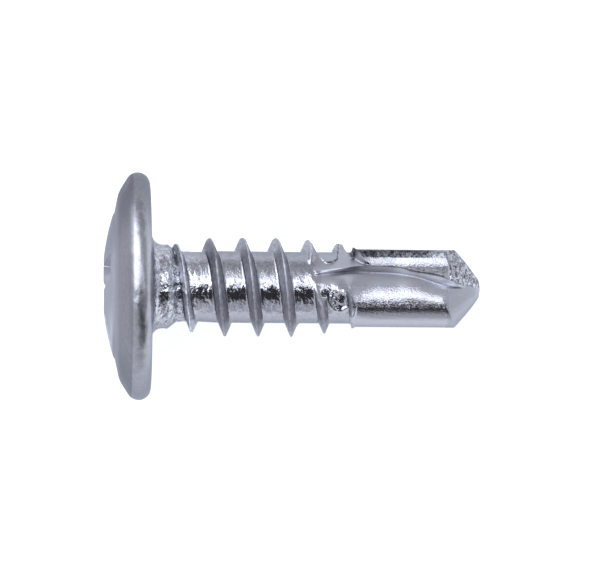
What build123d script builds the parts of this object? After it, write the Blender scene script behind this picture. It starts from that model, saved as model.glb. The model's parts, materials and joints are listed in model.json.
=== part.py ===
"""Self drilling screw, 4.2 x 14 mm, with a low domed flange head, a cross recess and a pinched drill point.

The screw is one solid. It is modelled upright: the bearing face under the head is at z = 0, the crown is below
it and the drill point above, at z = length. The lands of the drill point lie along x. Then the screw is laid on
its side, resting on the rim of the head and on the drill point, with the origin at the bottom centre of its box.
"""
from build123d import *
from math import atan2, ceil, cos, degrees, hypot, radians, sin, sqrt, tan
import os

# ---- Driving dimensions, in millimetres and degrees ----

# Head
head_d = 9.74             # across the flange
head_h = 2.12             # bearing face to crown
dome_r = 10.0             # sphere of the crown
dome_d = 6.2              # where the crown meets the flange
ring_w = 0.86             # nearly flat ring round the dome
ring_drop = 0.11          # how much that ring falls towards the rim
rim_slope = 33.5          # slope of the flange's outer face
rim_shoulder_round = 1.2  # between the ring and the outer face
rim_top_round = 0.50      # above the widest line of the rim
rim_under_round = 0.42    # below it
underhead_fillet = 0.34

# Cross recess, size number 2
recess_d = 5.2            # across the wings at the crown
wing_w = 1.15             # wing width at the crown
wing_draft = 5.0          # draft of the wing flanks
wing_end_slope = 30.0     # slope of the outer ends of the wings
wing_depth = 1.80
core_d = 2.5              # the round core between the wings, at the crown
core_draft = 10.0
pilot_depth = 2.45        # the pointed bottom of the core
recess_turn = -19.0       # turn of the wings from the lands of the drill point

# Shank and thread
length = 14.0             # from the bearing face to the tip
neck_d = 3.54             # plain blank under the head
neck_len = 0.50
neck_taper = 28.0         # slope of the step from the neck to the thread's root
neck_round = 0.2
root_d = 3.04
thread_d = 4.20
pitch = 1.411             # 18 threads to the inch
flank_angle = 27.0        # half of the thread's angle
crest_w = 0.07
thread_start = 0.55       # where the ridge leaves the neck
crest_turn = -242.0       # direction of the crest level with the bearing face
lead_in = 2.05            # length over which the ridge rises to its full height
taper_start = 6.2         # from here the ridge gets lower towards the point
taper_angle = 7.6

# Drill point
drill_d = 3.33            # across the two lands
drill_thick = 2.30        # across the crests of the lobes
drill_len = 5.40          # from the thread's end to the tip
drill_overlap = 0.25      # how far the lobed section reaches back into the thread
crest_offset = 0.65       # from the axis to the crest of a lobe
land_round = 0.70         # round of the land behind each lip
lip_turn = 95.0           # where that round meets the flute's wall
flute_corner = 0.66       # from the axis to the corner at the bottom of the flute
floor_r = 1.64            # round of the flute's floor
sweep_len = 3.75          # stretch at the tip over which the flutes sweep to the axis
sweep_past = 0.17         # how far the swept corner ends past the axis
sweep_bow = 0.60          # how strongly the swept corner bows outwards on its way
sweep_drop = 0.10         # how much lower it ends
land_rise = 0.30          # how much higher the lip's edge is once the sweep is half done
point_angle = 105.0
chisel_d = 0.56           # blunt end of the point
chisel_h = 0.05

# Where the flutes run out into the thread
runout_len = 1.84         # from the first cut on the thread's root to the full flute
runout_turn = 70.5        # direction of that first cut from the land
runout_w = 1.19           # width of the cut's first edge
runout_lag = 0.49         # how much nearer the tip the far end of that edge is
runout_rise = 0.20        # and how much higher
runout_slope = 45.0       # how steeply the cut starts
ramp_turn = 50.0          # direction that the flat ramp up to each land faces
ramp_slope = 11.0
ramp_end = 0.70           # where the ramp meets the lip, past the thread's end
ramp_len = 1.65           # the ramp's stretch on the thread
ramp_start_slope = 60.0   # its steep start

# ---- How the shapes are made ----

AIR = 3.6                 # how far the cutters reach out from the axis
MARGIN = 0.3              # how far a cutter passes the face that it starts from
BURIED = 0.12             # how far an end that is hidden inside another body lies under its surface
PIECES_PER_TURN = 2       # the thread is made in half turns
EDGE_STEPS = 16           # places tried along each edge of the drill point, to find what it rests on

# ---- Derived sizes ----

head_r = head_d / 2
neck_r = neck_d / 2
root_r = root_d / 2
thread_r = thread_d / 2
drill_r = drill_d / 2
lobe_y = drill_thick / 2
thread_end = length - drill_len
drill_base = thread_end - drill_overlap
cone_start = length - chisel_h - (drill_r - chisel_d / 2) / tan(radians(point_angle / 2))


def crown_z(radius):
    """Height of the crown's sphere at a radius."""
    return -head_h + dome_r - sqrt(dome_r**2 - radius**2)


def floor_y(x):
    """Height of the flute's round floor above the middle plane."""
    return lobe_y - floor_r + sqrt(floor_r**2 - (x + crest_offset) ** 2)


def lip():
    """The edge of the land where the flute's wall begins, as (x, y)."""
    turn = radians(lip_turn)
    return (drill_r - land_round + land_round * cos(turn), land_round * sin(turn))


def head_and_neck():
    """The flange head and the neck, turned about the axis; the neck's foot ends inside the thread."""
    dome_edge = (dome_d / 2, crown_z(dome_d / 2))
    ring_edge = (dome_edge[0] + ring_w, dome_edge[1] + ring_drop)
    rim_z = ring_edge[1] + (head_r - ring_edge[0]) * tan(radians(rim_slope))
    foot_r = root_r - BURIED
    foot_z = neck_len + (neck_r - foot_r) / tan(radians(neck_taper))
    corners = [dome_edge, ring_edge, (head_r, rim_z), (head_r, 0),
               (neck_r, 0), (neck_r, neck_len), (foot_r, foot_z)]
    rounds = [rim_shoulder_round, rim_top_round, rim_under_round, underhead_fillet, neck_round]
    outline = FilletPolyline(*[(r, 0, z) for r, z in corners], radius=rounds)
    half_way = dome_edge[0] / 2
    crown = ThreePointArc((0, 0, -head_h), (half_way, 0, crown_z(half_way)), (dome_edge[0], 0, dome_edge[1]))
    closing = Polyline((foot_r, 0, foot_z), (0, 0, foot_z), (0, 0, -head_h))
    return revolve(make_face(crown + outline + closing), Axis.Z)


def thread_section(z):
    """The section of the full thread at a height: root arc, two spiral flanks and a narrow crest."""
    crest = crest_turn + 360 * z / pitch
    half_crest = 180 * crest_w / pitch
    half_root = half_crest + 360 * (thread_r - root_r) * tan(radians(flank_angle)) / pitch

    def polar(radius, angle):
        return (radius * cos(radians(angle)), radius * sin(radians(angle)), z)

    def flank(side):
        steps = [step / 6 for step in range(7)]
        return [polar(root_r + (thread_r - root_r) * t, crest + side * (half_root + (half_crest - half_root) * t))
                for t in steps]

    left, right = flank(-1), flank(1)
    edges = [
        Edge.make_spline(left),
        Edge.make_three_point_arc(left[-1], polar(thread_r, crest), right[-1]),
        Edge.make_spline(right[::-1]),
        Edge.make_three_point_arc(right[0], polar(root_r, crest + 180), left[0]),
    ]
    return Face(Wire(edges))


def thread_limit():
    """The turned outline that the crest stays inside: it opens at the neck and closes towards the point."""
    over = thread_r + MARGIN
    low_z = thread_start - MARGIN
    full_z = thread_start + lead_in
    rise = (thread_r - neck_r) / lead_in
    taper = tan(radians(taper_angle))
    opening = Polyline((0, 0, low_z), (neck_r - MARGIN * rise, 0, low_z), (over, 0, full_z + MARGIN / rise),
                       (0, 0, taper_start), close=True)
    closing = Polyline((0, 0, full_z), (over, 0, taper_start - MARGIN / taper),
                       (thread_r - (thread_end - taper_start) * taper, 0, thread_end),
                       (0, 0, thread_end), close=True)
    return revolve(make_face(opening), Axis.Z), revolve(make_face(closing), Axis.Z)


def thread():
    """The threaded shank, stacked from short twisted pieces, with its ends cut to the thread's limits."""
    opening, closing = thread_limit()
    start_z = thread_start - BURIED
    count = ceil((thread_end - start_z) / pitch * PIECES_PER_TURN)
    height = (thread_end - start_z) / count
    pieces = []
    for index in range(count):
        z = start_z + index * height
        piece = Solid.extrude_linear_with_rotation(
            thread_section(z), (0, 0, z), (0, 0, height), 360 * height / pitch)
        if z < thread_start + lead_in:
            piece = (piece & opening).solid()
        elif z + height > taper_start:
            piece = (piece & closing).solid()
        pieces.append(piece)
    return pieces[0].fuse(*pieces[1:])


def bulged(start, end, radius):
    """The middle point of an arc of a radius from start to end, bulging to the right of that way."""
    chord = (end[0] - start[0], end[1] - start[1])
    bulge = (radius - sqrt(radius**2 - hypot(*chord) ** 2 / 4)) / hypot(*chord)
    return (start[0] + chord[0] / 2 + chord[1] * bulge, start[1] + chord[1] / 2 - chord[0] * bulge)


def half_section(corner, edge, crest):
    """Half of the lobed section as (start, middle, end) points; a side with no middle is straight."""
    land, back = (drill_r, 0), (-drill_r, 0)
    radius = (edge[1] ** 2 + (land[0] - edge[0]) ** 2) / (2 * (land[0] - edge[0]))
    turn = atan2(edge[1], edge[0] - land[0] + radius) / 2
    land_middle = (land[0] - radius + radius * cos(turn), radius * sin(turn))
    lobe_middle = (crest[0] + (back[0] - crest[0]) * sqrt(0.5), crest[1] * sqrt(0.5))
    floor_middle = bulged(corner, crest, floor_r)
    return [(land, land_middle, edge), (edge, None, corner),
            (corner, floor_middle, crest), (crest, lobe_middle, back)]


def section_wire(half, z):
    """The closed lobed section at a height: the given half, and the same turned by half a turn."""
    edges = []
    for way in (1, -1):
        for start, middle, end in half:
            ends = [(way * x, way * y, z) for x, y in (start, end)]
            if middle is None:
                edges.append(Edge.make_line(*ends))
            else:
                through = (way * middle[0], way * middle[1], z)
                edges.append(Edge.make_three_point_arc(ends[0], through, ends[1]))
    return Wire(edges)


def swept_half(share):
    """The half section at a share of the sweep, with the flute's corner and lip moved towards the axis."""
    corner_x, (lip_x, lip_y) = flute_corner, lip()
    corner_y = floor_y(corner_x)
    bow = sweep_bow * share * (1 - share) - sweep_drop * share**2
    corner = (corner_x - share * (corner_x + sweep_past), corner_y + bow)
    edge = (lip_x - share * (lip_x + sweep_past / 3), lip_y + land_rise * min(2 * share, 1))
    return half_section(corner, edge, (-crest_offset, lobe_y))


def drill_point():
    """The two-lobed drill point, cut to its round envelope and cone."""
    sweep_start = length - sweep_len
    straight = Solid.make_loft([section_wire(swept_half(0), z) for z in (drill_base, sweep_start)], ruled=True)
    shares = [0.0, 0.25, 0.5, 0.75, 1.0]
    wires = [section_wire(swept_half(share), sweep_start + share * (sweep_len + MARGIN)) for share in shares]
    swept = Solid.make_loft(wires, ruled=True)
    outline = Polyline((0, 0, drill_base), (drill_r, 0, drill_base), (drill_r, 0, cone_start),
                       (chisel_d / 2, 0, length - chisel_h), (0, 0, length), close=True)
    return (straight + swept) & revolve(make_face(outline), Axis.Z)


def ramp_height(z):
    """Distance from the axis to the flat ramp, which meets the lip a little way along the drill point."""
    lip_x, lip_y = lip()
    turn = radians(ramp_turn)
    at_lip = lip_x * cos(turn) + lip_y * sin(turn)
    return at_lip + (thread_end + ramp_end - z) * tan(radians(ramp_slope))


def across_ramp(point):
    """A point's distance along the width of the ramp."""
    turn = radians(ramp_turn)
    return -point[0] * sin(turn) + point[1] * cos(turn)


def ramp_prism(outline, low, high):
    """A prism over an outline of (z, distance) points, between two places along the ramp's width."""
    turn = radians(ramp_turn)

    def place(z, distance):
        return (distance * cos(turn) - low * sin(turn), distance * sin(turn) + low * cos(turn), z)

    face = Face(Wire.make_polygon([place(*point) for point in outline], close=True))
    return Solid.extrude(face, Vector(-sin(turn), cos(turn), 0) * (high - low))


def ramp_shoulder():
    """The round shank carried on under the ramp, behind the lip."""
    top = thread_end + ramp_end + MARGIN
    bar = Pos(0, 0, (drill_base + top) / 2) * Cylinder(root_r, top - drill_base)
    wedge = ramp_prism([(drill_base, 0), (top, 0), (top, ramp_height(top)), (drill_base, ramp_height(drill_base))],
                       -AIR, across_ramp(lip()))
    return bar & wedge


def ramp_cutter():
    """Cuts the flat ramp into the thread: a steep start, then the long flat."""
    first_z = thread_end - ramp_len
    start = tan(radians(ramp_start_slope))
    next_z = first_z + (thread_r - ramp_height(first_z)) / start
    last_z = thread_end + ramp_end + 2 * MARGIN
    outline = [(first_z - (AIR - thread_r) / start, AIR), (next_z, ramp_height(next_z)),
               (last_z, ramp_height(last_z)), (last_z, AIR)]
    return ramp_prism(outline, -AIR, AIR)


def flute_runout():
    """Cuts the flute's shallow start, from a slanting edge on the thread to the full flute."""
    turn = radians(runout_turn)
    slope = radians(runout_slope)
    first = Vector(root_r * cos(turn), root_r * sin(turn), thread_end - runout_len)
    last = first + Vector(-sqrt(runout_w**2 - runout_lag**2), runout_rise, runout_lag)
    out = Vector(0, cos(slope), -sin(slope)) * 2 * AIR
    start = [first + out, first, (first + last) / 2, last, last + out]
    corner = Vector(flute_corner, floor_y(flute_corner), thread_end)
    crest = Vector(-crest_offset, lobe_y, thread_end)
    middle_x = (flute_corner - crest_offset) / 2
    middle = Vector(middle_x, floor_y(middle_x), thread_end)
    wall = Vector(*lip(), thread_end) - corner
    end = [corner + wall * (2 * AIR / wall.length), corner, middle, crest, crest + Vector(-MARGIN, 2 * AIR, 0)]
    wires = [Wire.make_polygon(ring, close=True) for ring in (start, end)]
    return Solid.make_loft(wires, ruled=True)


def recess():
    """The cross recess: two crossed wings, a round core and a pointed bottom, cut from above the crown."""
    above = -head_h - MARGIN
    wing_floor = -head_h + wing_depth
    top_r = recess_d / 2 + (crown_z(recess_d / 2) - above) * tan(radians(wing_end_slope))
    floor_half = top_r - (wing_floor - above) * tan(radians(wing_end_slope))
    narrowing = (wing_floor - above) * tan(radians(wing_draft))
    cutter = None
    for turn in (recess_turn, recess_turn + 90):
        low = Plane(origin=(0, 0, above)).rotated((0, 0, turn)) * Rectangle(2 * top_r, wing_w)
        high = Plane(origin=(0, 0, wing_floor)).rotated((0, 0, turn)) * Rectangle(
            2 * floor_half, wing_w - 2 * narrowing)
        wing = Solid.make_loft([low.wire(), high.wire()], ruled=True)
        cutter = wing if cutter is None else cutter + wing
    core_low = core_d / 2
    core_high = core_low - (wing_floor - above) * tan(radians(core_draft))
    core = Polyline((0, 0, above), (core_low, 0, above), (core_high, 0, wing_floor),
                    (0, 0, -head_h + pilot_depth), close=True)
    return cutter + revolve(make_face(core), Axis.Z)


def upright_screw():
    """The whole screw, standing on its crown."""
    half_turn = Rot(0, 0, 180)
    shank = head_and_neck() + thread()
    shoulder = ramp_shoulder()
    shank = shank + shoulder + half_turn * shoulder
    for cutter in (ramp_cutter(), flute_runout()):
        shank = shank - cutter - half_turn * cutter
    return shank + drill_point() - recess()


def rim_reach(tilt):
    """How far the rim reaches down from the axis at the bearing face, when the tip is tilted down."""
    centre_r = head_r - rim_under_round
    return centre_r * cos(tilt) - rim_under_round * sin(tilt) + rim_under_round


def drill_reach(points, turn, tilt):
    """The same for the drill point, rolled by a turn."""
    side, down, along = -sin(turn) * cos(tilt), -cos(turn) * cos(tilt), sin(tilt)
    return max(side * x + down * y + along * z for x, y, z in points)


def resting_tilt(points, turn):
    """The tilt at which the rim and the drill point touch the ground together."""
    low, high = 0.0, radians(60)
    for _ in range(30):
        middle = (low + high) / 2
        if drill_reach(points, turn, middle) < rim_reach(middle):
            low = middle
        else:
            high = middle
    return high


def resting_pose(drill):
    """Roll and tilt in which the screw lies still on its rim and two places of the drill point.

    That is where the drill point lets the tip sink deepest, so rolling either way lifts it.
    """
    places = [edge.position_at(step / EDGE_STEPS) for edge in drill.edges() for step in range(EDGE_STEPS + 1)]
    points = [(place.X, place.Y, place.Z) for place in places if place.Z > thread_end]
    low, high = radians(-80), radians(80)
    for _ in range(30):
        third = (high - low) / 3
        if resting_tilt(points, low + third) < resting_tilt(points, high - third):
            low += third
        else:
            high -= third
    return low, resting_tilt(points, low)


def lay_down(screw):
    """Lay the upright screw on its side, with its tip along +x and the origin below the middle of its box."""
    turn, tilt = resting_pose(drill_point())
    side = Plane(origin=(0, 0, rim_reach(tilt)), x_dir=(0, 1, 0), z_dir=(cos(tilt), 0, -sin(tilt)))
    lying = side.location * Rot(0, 0, degrees(turn)) * screw
    box = lying.bounding_box()
    return Pos(-(box.min.X + box.max.X) / 2, 0, 0) * lying


os.makedirs("parts", exist_ok=True)
export_step(lay_down(upright_screw()), "parts/screw.step")
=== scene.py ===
"""The looks of a self drilling screw: a domed flange head, a rolled thread and a pinched drill point.

The screw is one mesh that stands for the solid called "screw". Lengths are in millimetres in the screw's own frame
until the mesh is placed: u runs along the lands of the drill point, v across them and s along the axis, from the
bearing face under the head (s = 0) to the tip. The screw's two halves are alike, and a direction within the half
goes from 0 at the land to pi behind the lobe. Flanks, tapers and drafts are in degrees, and slopes are ratios.
"""
from __future__ import annotations

import json
import logging
import math
from dataclasses import dataclass, field, fields
from enum import Enum

import bmesh
import bpy
from mathutils import Matrix, Vector

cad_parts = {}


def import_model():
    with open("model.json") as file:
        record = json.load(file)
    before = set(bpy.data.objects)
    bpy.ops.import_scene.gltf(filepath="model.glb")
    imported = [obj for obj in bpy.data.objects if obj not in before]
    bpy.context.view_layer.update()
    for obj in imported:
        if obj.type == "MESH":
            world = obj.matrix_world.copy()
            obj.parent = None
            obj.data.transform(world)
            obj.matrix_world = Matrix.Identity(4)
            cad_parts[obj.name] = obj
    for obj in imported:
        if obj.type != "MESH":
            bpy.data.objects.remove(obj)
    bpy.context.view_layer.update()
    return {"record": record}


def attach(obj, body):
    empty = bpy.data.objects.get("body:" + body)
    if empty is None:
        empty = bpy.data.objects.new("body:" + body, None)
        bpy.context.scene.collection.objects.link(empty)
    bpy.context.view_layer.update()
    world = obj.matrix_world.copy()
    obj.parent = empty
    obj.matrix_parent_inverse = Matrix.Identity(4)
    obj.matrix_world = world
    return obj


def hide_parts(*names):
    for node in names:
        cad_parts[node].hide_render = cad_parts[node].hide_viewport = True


LOG = logging.getLogger("screw")
MM = 0.001
# Points of a mesh that are nearer than this are one.
WELD = 2e-5


# ---------------------------------------------------------------------------------------------------------------
# Node trees written as expressions
# ---------------------------------------------------------------------------------------------------------------


class Strand:
    """A number that flows through a node tree, with Python's operators."""

    def __init__(self, bench: "Bench", socket: bpy.types.NodeSocket) -> None:
        """Keep the tree's bench and the socket that gives the number."""
        self.bench = bench
        self.socket = socket

    def __add__(self, other: "Number") -> "Strand":
        """Sum."""
        return self.bench.maths("ADD", self, other)

    def __radd__(self, other: "Number") -> "Strand":
        """Sum with a plain number first."""
        return self.bench.maths("ADD", other, self)

    def __sub__(self, other: "Number") -> "Strand":
        """Difference."""
        return self.bench.maths("SUBTRACT", self, other)

    def __rsub__(self, other: "Number") -> "Strand":
        """Difference with a plain number first."""
        return self.bench.maths("SUBTRACT", other, self)

    def __mul__(self, other: "Number") -> "Strand":
        """Product."""
        return self.bench.maths("MULTIPLY", self, other)

    def __rmul__(self, other: "Number") -> "Strand":
        """Product with a plain number first."""
        return self.bench.maths("MULTIPLY", other, self)

    def __truediv__(self, other: "Number") -> "Strand":
        """Quotient."""
        return self.bench.maths("DIVIDE", self, other)

    def __neg__(self) -> "Strand":
        """The number with its sign changed."""
        return self.bench.maths("MULTIPLY", self, -1.0)

    def __abs__(self) -> "Strand":
        """The number without its sign."""
        return self.bench.maths("ABSOLUTE", self)

    def call(self, operation: str, *others: "Number") -> "Strand":
        """Any other Math operation on this number."""
        return self.bench.maths(operation, self, *others)

    def least(self, other: "Number") -> "Strand":
        """The smaller of two numbers."""
        return self.bench.maths("MINIMUM", self, other)

    def most(self, other: "Number") -> "Strand":
        """The larger of two numbers."""
        return self.bench.maths("MAXIMUM", self, other)

    def soft_least(self, other: "Number", blend: "Number") -> "Strand":
        """The smaller of two numbers, rounded over where they meet."""
        return self.bench.maths("SMOOTH_MIN", self, other, blend)

    def soft_most(self, other: "Number", blend: "Number") -> "Strand":
        """The larger of two numbers, rounded out where they meet."""
        return self.bench.maths("SMOOTH_MAX", self, other, blend)

    def held(self, low: float = 0.0, high: float = 1.0) -> "Strand":
        """The number, kept between two limits."""
        return self.most(low).least(high)

    def over(self, low: "Number", high: "Number") -> "Strand":
        """0 up to low, 1 from high on, and an even slope between them."""
        return self.bench.mapped(self, low, high, "LINEAR")

    def eased(self, low: "Number", high: "Number") -> "Strand":
        """0 up to low, 1 from high on, and a soft rise between them."""
        return self.bench.mapped(self, low, high, "SMOOTHSTEP")

    def band(self, rise: "Span", fall: "Span") -> "Strand":
        """0, then 1 between a soft rise and a soft fall, and 0 again."""
        return self.eased(*rise) * (1 - self.eased(*fall))

    def tent(self, middle: "Number", half: float) -> "Strand":
        """1 at the middle, and an even slope down to 0 at half a width from it."""
        return (1 - abs(self - middle) / half).most(0.0)

    def toward(self, other: "Number", share: "Number") -> "Strand":
        """The number moved a share of the way to another."""
        return self + (other - self) * share


Number = Strand | float
Colour = tuple[float, float, float]
# From where to where a number rises or falls, or a place and the height there.
Span = tuple[float, float]
# A rise and a fall.
Band = tuple[Span, Span]
# Places in rising order, each with the height there.
Line = tuple[Span, ...]


@dataclass(frozen=True)
class Noise:
    """An even noise: its features in a millimetre, its finer layers, and how strong each is beside the one before."""

    scale: float
    detail: float
    rough: float


class Bench:
    """Adds nodes to one tree."""

    def __init__(self, tree: bpy.types.NodeTree) -> None:
        """Keep the tree."""
        self.tree = tree

    def node(self, kind: str, settings: dict | None = None, values: dict | None = None) -> bpy.types.Node:
        """Add a node.

        Args:
            kind: the node's type.
            settings: its properties, which are set first.
            values: a number, vector, colour or socket for each of its inputs, by name or place.

        Returns:
            The new node.
        """
        made = self.tree.nodes.new(kind)
        for name, value in (settings or {}).items():
            setattr(made, name, value)
        for key, value in (values or {}).items():
            self.feed(made.inputs[key], value)
        return made

    def feed(self, entry: bpy.types.NodeSocket, value: object) -> None:
        """Link a socket to an input, or set the input's own value.

        Args:
            entry: the input.
            value: a number, vector, colour or socket.
        """
        if isinstance(value, Strand):
            self.tree.links.new(value.socket, entry)
        elif isinstance(value, bpy.types.NodeSocket):
            self.tree.links.new(value, entry)
        else:
            entry.default_value = value

    def strand(self, made: bpy.types.Node, key: str | int = 0) -> Strand:
        """One of a node's outputs as a number."""
        return Strand(self, made.outputs[key])

    def maths(self, operation: str, *values: Number) -> Strand:
        """A Math node on up to three numbers."""
        return self.strand(self.node("ShaderNodeMath", {"operation": operation}, dict(enumerate(values))))

    def mapped(self, value: Number, low: Number, high: Number, slope: str) -> Strand:
        """A Map Range node from low and high to 0 and 1."""
        settings = {"data_type": "FLOAT", "interpolation_type": slope, "clamp": True}
        return self.strand(self.node("ShaderNodeMapRange", settings, {0: value, 1: low, 2: high}))

    def curve(self, value: Strand, points: Line) -> Strand:
        """A smooth curve through a few points, level beyond its ends.

        Args:
            value: where along the curve to read it.
            points: the places and heights.

        Returns:
            The height there.
        """
        places, heights = zip(*points)
        low, high = min(heights) - 1e-6, max(heights) + 1e-6
        made = self.node("ShaderNodeFloatCurve", None, {"Value": value.over(places[0], places[-1])})
        shape = made.mapping.curves[0]
        stops = [((place - places[0]) / (places[-1] - places[0]), (height - low) / (high - low))
                 for place, height in points]
        shape.points[0].location = stops[0]
        shape.points[-1].location = stops[-1]
        for stop in stops[1:-1]:
            shape.points.new(*stop)
        made.mapping.update()
        return self.strand(made) * (high - low) + low

    def vector(self, x: Number, y: Number, z: Number) -> bpy.types.NodeSocket:
        """Three numbers as a vector."""
        return self.node("ShaderNodeCombineXYZ", None, {0: x, 1: y, 2: z}).outputs[0]

    def around(self, angle: Strand, radius: Number, s: Strand) -> bpy.types.NodeSocket:
        """The place in a direction around the axis, at a radius and a distance along it."""
        return self.vector(radius * angle.call("COSINE"), radius * angle.call("SINE"), s)

    def parts(self, vector: bpy.types.NodeSocket) -> list[Strand]:
        """A vector as three numbers."""
        made = self.node("ShaderNodeSeparateXYZ", None, {0: vector})
        return [self.strand(made, index) for index in range(3)]

    def noise(self, place: bpy.types.NodeSocket, noise: Noise) -> Strand:
        """Noise about 0.5 over space.

        Args:
            place: where to read it.
            noise: the kind of noise.

        Returns:
            The noise there.
        """
        made = self.node("ShaderNodeTexNoise", {"noise_dimensions": "3D"}, {
            "Vector": place, "Scale": noise.scale, "Detail": noise.detail, "Roughness": noise.rough})
        return self.strand(made, 0)


def cleared(owner: bpy.types.Material | bpy.types.World) -> Bench:
    """Give a material or a world an empty node tree.

    Args:
        owner: the material or the world.

    Returns:
        The tree's bench.
    """
    owner.use_nodes = True
    owner.node_tree.nodes.clear()
    return Bench(owner.node_tree)


def half_direction(u: Strand, v: Strand) -> Strand:
    """The direction of a place within its half of the screw."""
    angle = v.call("ARCTAN2", u)
    return angle + angle.call("LESS_THAN", 0.0) * math.pi


# ---------------------------------------------------------------------------------------------------------------
# Meshes and objects
# ---------------------------------------------------------------------------------------------------------------


def new_object(name: str, content: bpy.types.ID) -> bpy.types.Object:
    """Add an object to the scene.

    Args:
        name: the object's name.
        content: the mesh, light or camera that it holds.

    Returns:
        The object.
    """
    made = bpy.data.objects.new(name, content)
    bpy.context.scene.collection.objects.link(made)
    return made


def plain_mesh(name: str, grid: bmesh.types.BMesh) -> bpy.types.Mesh:
    """Turn finished mesh data into a mesh, and free it.

    Args:
        name: the mesh's name.
        grid: the finished data.

    Returns:
        The mesh.
    """
    mesh = bpy.data.meshes.new(name)
    grid.to_mesh(mesh)
    grid.free()
    return mesh


def apply_modifier(made: bpy.types.Object, modifier: bpy.types.Modifier) -> None:
    """Make a modifier's result the object's own plain mesh, and remove the modifier.

    Args:
        made: the object.
        modifier: its only modifier.
    """
    graph = bpy.context.evaluated_depsgraph_get()
    mesh = bpy.data.meshes.new_from_object(made.evaluated_get(graph))
    made.modifiers.remove(modifier)
    made.data = mesh


# ---------------------------------------------------------------------------------------------------------------
# Where the screw lies
# ---------------------------------------------------------------------------------------------------------------


@dataclass
class Lie:
    """How the screw lies: its frame, as the record's bearing face gives it, and its roll about the axis."""

    record: dict
    roll: float = math.radians(2.487)
    origin: Vector = field(init=False)
    along: Vector = field(init=False)
    up: Vector = field(init=False)
    side: Vector = field(init=False)

    def __post_init__(self) -> None:
        """Read the bearing face's place and work out the screw's three directions."""
        face = next(mount for mount in self.record["mounts"] if mount["name"] == "bearing_face")
        self.origin = Vector(face["pos_m"])
        self.along = Vector(face["axis"]).normalized()
        level = Vector((0, 1, 0))
        lift = self.along.cross(level)
        self.side = level * math.cos(self.roll) + lift * math.sin(self.roll)
        self.up = lift * math.cos(self.roll) - level * math.sin(self.roll)

    def matrix(self) -> Matrix:
        """The placement of a mesh that is in millimetres in the screw's frame."""
        turn = Matrix((self.side, self.up, self.along)).transposed()
        return Matrix.Translation(self.origin) @ turn.to_4x4() @ Matrix.Scale(MM, 4)


# ---------------------------------------------------------------------------------------------------------------
# The shank: thread, run-out and drill point
# ---------------------------------------------------------------------------------------------------------------

COLUMNS = 240
HALF = COLUMNS // 2


class Stretch(Enum):
    """How the rows of a stretch of the shank run."""

    THREADED = "threaded"
    STRAIGHT = "straight"


@dataclass(frozen=True)
class Neck:
    """The neck under the head: it narrows to a waist, which widens to the thread's root."""

    radius: float = 1.77
    end: float = 0.66
    taper: float = 38.0
    waist_r: float = 1.48
    widening: Span = (1.9, 2.9)

    def radius_at(self, s: Strand, root_r: Strand) -> Strand:
        """Radius of the neck, the waist and the root.

        Args:
            s: distance along the axis.
            root_r: radius of the thread's root.

        Returns:
            The radius there, without the thread.
        """
        taper = math.tan(math.radians(self.taper))
        neck = self.radius - ((s - self.end) * taper).held(0.0, self.radius - self.waist_r)
        waist = self.waist_r + (root_r - self.waist_r) * s.eased(*self.widening)
        return neck.most(waist)


@dataclass(frozen=True)
class Thread:
    """The rolled thread: its ridge rises out of the neck, stands full and sinks a little towards the point."""

    root_r: float = 1.52
    crest_r: float = 2.10
    pitch: float = 1.411
    crest_at: float = 0.99
    crest_half: float = 0.035
    flank: float = 22.5
    first_r: float = 1.74
    rise_from: float = 0.55
    rise_to: float = 2.60
    fall_from: float = 6.20
    fall: float = 0.13
    fade_to: float = 0.56
    fade: float = 3.0
    blunting: Span = (7.35, 7.7)
    blunt_shift: float = 0.06
    blunt_half: float = 0.08

    def ridge(self, s: Strand, angle: Strand, pitch: Strand, crest_r: Strand) -> Strand:
        """Radius of the ridge's flanks and crest.

        Args:
            s: distance along the axis.
            angle: direction around the axis.
            pitch: distance between turns.
            crest_r: radius of the full crest.

        Returns:
            The radius there, which lies under the root between turns.
        """
        turn = (s - self.crest_at) / pitch - angle / math.tau
        blunt = s.eased(*self.blunting)
        away = abs((turn - turn.call("ROUND")) * pitch + blunt * self.blunt_shift) - blunt * self.blunt_half
        rise = self.first_r + (s - self.rise_from) * ((self.crest_r - self.first_r) / (self.rise_to - self.rise_from))
        full = crest_r - (s - self.fall_from).most(0.0) * self.fall
        ridge = rise.least(full) - (away - self.crest_half).most(0.0) / math.tan(math.radians(self.flank))
        return ridge - (self.fade_to - s).most(0.0) * self.fade


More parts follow.
